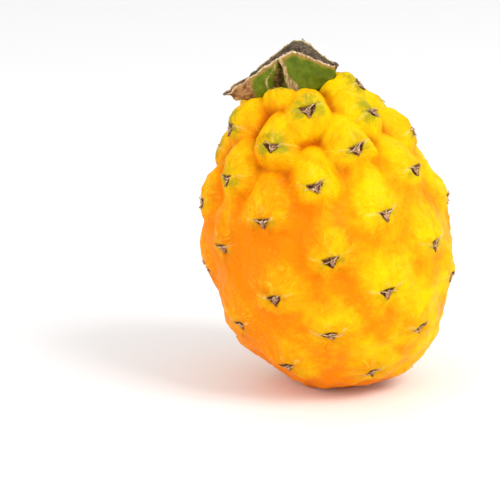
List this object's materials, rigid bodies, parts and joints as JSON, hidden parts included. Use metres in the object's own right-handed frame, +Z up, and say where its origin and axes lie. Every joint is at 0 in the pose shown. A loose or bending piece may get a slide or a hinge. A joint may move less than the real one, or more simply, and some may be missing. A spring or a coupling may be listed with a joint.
{
  "type": "dragon fruit",
  "caption": "Whole yellow dragon fruit standing on its blossom end: an egg-shaped body of knobbly tubercles, each with a dry scale, and a winged piece of cactus stem on top.",
  "frame": {"origin": "on the resting plane, under the middle of the whole outline", "axes": "+Z up from the flat spot at the blossom end to the stem; -Y is the front; the fruit's own axis leans 12 degrees from +Z towards -X"},
  "size_m": [0.0816, 0.082, 0.1103],
  "materials": {
    "rind": "satin",
    "stem": "matte",
    "dry_scale": "matte"
  },
  "bodies": {
    "root": {"fruit": "rind", "scale_01": "dry_scale", "scale_02": "dry_scale", "scale_03": "dry_scale", "scale_04": "dry_scale", "scale_05": "dry_scale", "scale_06": "dry_scale", "scale_07": "dry_scale", "scale_08": "dry_scale", "scale_09": "dry_scale", "scale_10": "dry_scale", "scale_11": "dry_scale", "scale_12": "dry_scale", "scale_13": "dry_scale", "scale_14": "dry_scale", "scale_15": "dry_scale", "scale_16": "dry_scale", "scale_17": "dry_scale", "scale_18": "dry_scale", "scale_19": "dry_scale", "scale_20": "dry_scale", "scale_21": "dry_scale", "scale_22": "dry_scale", "scale_23": "dry_scale", "scale_24": "dry_scale", "scale_25": "dry_scale", "scale_26": "dry_scale", "scale_27": "dry_scale", "scale_28": "dry_scale", "scale_29": "dry_scale", "scale_30": "dry_scale", "scale_31": "dry_scale", "scale_32": "dry_scale", "scale_33": "dry_scale", "scale_34": "dry_scale", "scale_35": "dry_scale", "scale_36": "dry_scale", "scale_37": "dry_scale", "scale_38": "dry_scale", "scale_39": "dry_scale", "scale_40": "dry_scale", "scale_41": "dry_scale", "scale_42": "dry_scale", "scale_43": "dry_scale", "scale_44": "dry_scale", "scale_45": "dry_scale", "scale_46": "dry_scale", "scale_47": "dry_scale", "scale_48": "dry_scale", "scale_49": "dry_scale", "scale_50": "dry_scale", "scale_51": "dry_scale", "scale_52": "dry_scale", "scale_54": "dry_scale", "stem_stub": "stem"}
  },
  "joints": []
}
